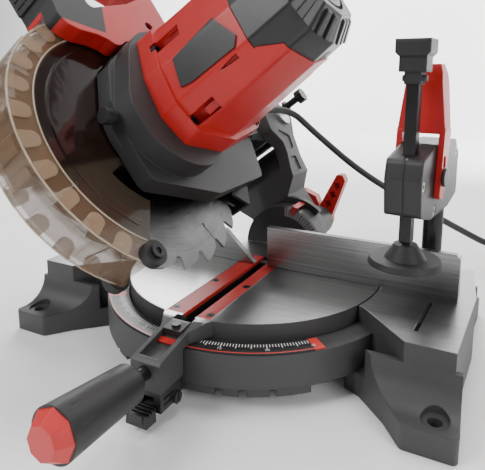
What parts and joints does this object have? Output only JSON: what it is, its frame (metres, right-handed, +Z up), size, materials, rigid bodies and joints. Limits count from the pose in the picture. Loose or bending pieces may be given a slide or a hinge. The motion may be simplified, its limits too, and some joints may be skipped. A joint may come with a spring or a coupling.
{
  "type": "miter saw",
  "caption": "Compact compound miter saw with tilting motor head, guarded blade, rotating table, cast base, fence, hold-down clamp, lock handle and coiled power cord.",
  "frame": {"origin": "on the bench, on the turntable's vertical axis, at the centre of the bench bolt pattern", "axes": "+X to the right along the fence, +Y to the rear, +Z up"},
  "size_m": [0.5462, 0.493, 0.3498],
  "materials": {
    "cast_grey": "satin",
    "machined": "machined",
    "red_plastic": "satin",
    "black_plastic": "matte",
    "soft_black": "matte",
    "steel": "brushed",
    "dark_steel": "gloss",
    "smoke": "clear"
  },
  "bodies": {
    "base": {"base_casting": "cast_grey", "miter_scale": "black_plastic", "pivot_bolt": "steel", "fence_right": "machined", "fence_left": "machined", "fence_screws": "steel", "cord": "soft_black", "cord_coil": "soft_black", "cord_tie": "black_plastic", "power_plug": "black_plastic"},
    "turntable": {"turntable": "machined", "kerf_plate_left": "red_plastic", "kerf_plate_right": "red_plastic", "kerf_screws": "steel", "miter_pointer": "red_plastic", "detent_housing": "black_plastic", "bevel_bolt": "steel", "bevel_scale": "machined"},
    "detent": {"detent_lever": "black_plastic"},
    "lock_handle": {"lock_rod": "dark_steel", "lock_grip": "black_plastic", "grip_cap": "red_plastic"},
    "bevel_lock": {"bevel_lever": "red_plastic"},
    "arm": {"arm_casting": "cast_grey", "chop_pin": "steel", "bevel_pointer": "red_plastic"},
    "latch": {"latch_pin": "dark_steel"},
    "head": {"upper_guard": "cast_grey", "dust_chute": "black_plastic", "gear_case": "cast_grey", "motor_housing": "red_plastic", "motor_end_cap": "black_plastic", "stator": "steel", "bearings": "steel", "housing_screws": "steel", "handle_left": "red_plastic", "handle_right": "red_plastic", "soft_grip": "soft_black", "cord_gland": "black_plastic"},
    "spindle_button": {"spindle_lock": "steel"},
    "trigger": {"trigger": "black_plastic"},
    "lock_button": {"lock_off_button": "black_plastic"},
    "blade": {"saw_blade": "steel", "arbor": "steel", "blade_flanges": "steel", "blade_bolt": "steel", "driven_gear": "steel"},
    "rotor": {"armature": "steel"},
    "guard": {"lower_guard": "smoke", "roller_screws": "steel"},
    "roller_r": {"roller_right": "soft_black"},
    "roller_l": {"roller_left": "soft_black"},
    "clamp": {"clamp_post": "dark_steel", "clamp_shell_left": "black_plastic", "clamp_shell_right": "black_plastic", "clamp_screws": "steel"},
    "clamp_grip": {"clamp_lever": "red_plastic"},
    "clamp_slide": {"clamp_bar": "dark_steel", "clamp_knob": "black_plastic"},
    "clamp_pad": {"clamp_foot": "soft_black"}
  },
  "joints": [
    {"name": "miter", "type": "hinge", "parent": "base", "child": "turntable", "pos_m": [0, 0, 0.04], "axis": [0, 0, -1], "range_deg": [-47, 47]},
    {"name": "detent", "type": "hinge", "parent": "turntable", "child": "detent", "pos_m": [0, -0.1374, 0.0125], "axis": [1, 0, 0], "range_deg": [0, 7]},
    {"name": "table_lock", "type": "hinge", "parent": "turntable", "child": "lock_handle", "pos_m": [0, -0.151, 0.0355], "axis": [0, -0.9969, 0.0785], "range_deg": [0, 180]},
    {"name": "bevel_clamp", "type": "hinge", "parent": "turntable", "child": "bevel_lock", "pos_m": [0, 0.17, 0.0527], "axis": [0, 1, 0], "range_deg": [-40, 40]},
    {"name": "bevel", "type": "hinge", "parent": "turntable", "child": "arm", "pos_m": [0, 0.1, 0.0527], "axis": [0, 1, 0], "range_deg": [-8.5, 11], "deforming": ["cord"]},
    {"name": "latch", "type": "slide", "parent": "arm", "child": "latch", "axis": [0.8039, 0, 0.5948], "range_m": [0, 0.006]},
    {"name": "chop", "type": "hinge", "parent": "arm", "child": "head", "pos_m": [-0.07257, 0.145, 0.15077], "axis": [0.8039, 0, 0.5948], "range_deg": [-20, 12.5], "stiffness_Nm_per_rad": 18, "springref_deg": -21.77},
    {"name": "spindle_button", "type": "slide", "parent": "head", "child": "spindle_button", "axis": [0.164, 0.9613, -0.2216], "range_m": [0, 0.004], "stiffness_N_per_m": 500, "springref_m": -0.002},
    {"name": "trigger", "type": "hinge", "parent": "head", "child": "trigger", "pos_m": [-0.17433, -0.066, 0.31183], "axis": [0.8039, 0, 0.5948], "range_deg": [-8, 0], "stiffness_Nm_per_rad": 0.8, "springref_deg": 6.88},
    {"name": "lock_button", "type": "slide", "parent": "head", "child": "lock_button", "axis": [0.8039, 0, 0.5948], "range_m": [0, 0.003], "stiffness_N_per_m": 400, "springref_m": -0.002},
    {"name": "blade_spin", "type": "hinge", "parent": "head", "child": "blade", "pos_m": [-0.07905, -0.0576, 0.15953], "axis": [0.8039, 0, 0.5948], "continuous": true},
    {"name": "motor_spin", "type": "hinge", "parent": "head", "child": "rotor", "pos_m": [-0.04582, -0.02786, 0.2155], "axis": [0.8039, 0, 0.5948], "continuous": true},
    {"name": "guard_swing", "type": "hinge", "parent": "head", "child": "guard", "pos_m": [-0.07905, -0.0576, 0.15953], "axis": [0.8039, 0, 0.5948], "range_deg": [-43, 68.5]},
    {"name": "roller_right_spin", "type": "hinge", "parent": "guard", "child": "roller_r", "pos_m": [-0.01282, -0.12708, 0.1018], "axis": [0.8039, 0, 0.5948], "continuous": true},
    {"name": "roller_left_spin", "type": "hinge", "parent": "guard", "child": "roller_l", "pos_m": [-0.04562, -0.12708, 0.07754], "axis": [0.8039, 0, 0.5948], "continuous": true},
    {"name": "clamp_swing", "type": "hinge", "parent": "base", "child": "clamp", "pos_m": [0.143, 0.033, 0.08], "axis": [0, 0, 1], "range_deg": [-10, 40]},
    {"name": "clamp_release", "type": "hinge", "parent": "clamp", "child": "clamp_grip", "pos_m": [0.13684, -0.01561, 0.15], "axis": [0.9921, -0.1257, 0], "range_deg": [-14, 0]},
    {"name": "clamp_press", "type": "slide", "parent": "clamp", "child": "clamp_slide", "axis": [0, 0, 1], "range_m": [-0.02, 0.016]},
    {"name": "clamp_tilt", "type": "hinge", "parent": "clamp_slide", "child": "clamp_pad", "pos_m": [0.134, -0.038, 0.101], "axis": [0.9921, -0.1257, 0], "range_deg": [-8, 8]}
  ],
  "couplings": [
    {"joint": "motor_spin", "follows": "blade_spin", "ratio": -4.2},
    {"joint": "guard_swing", "follows": "chop", "ratio": -3.4}
  ]
}
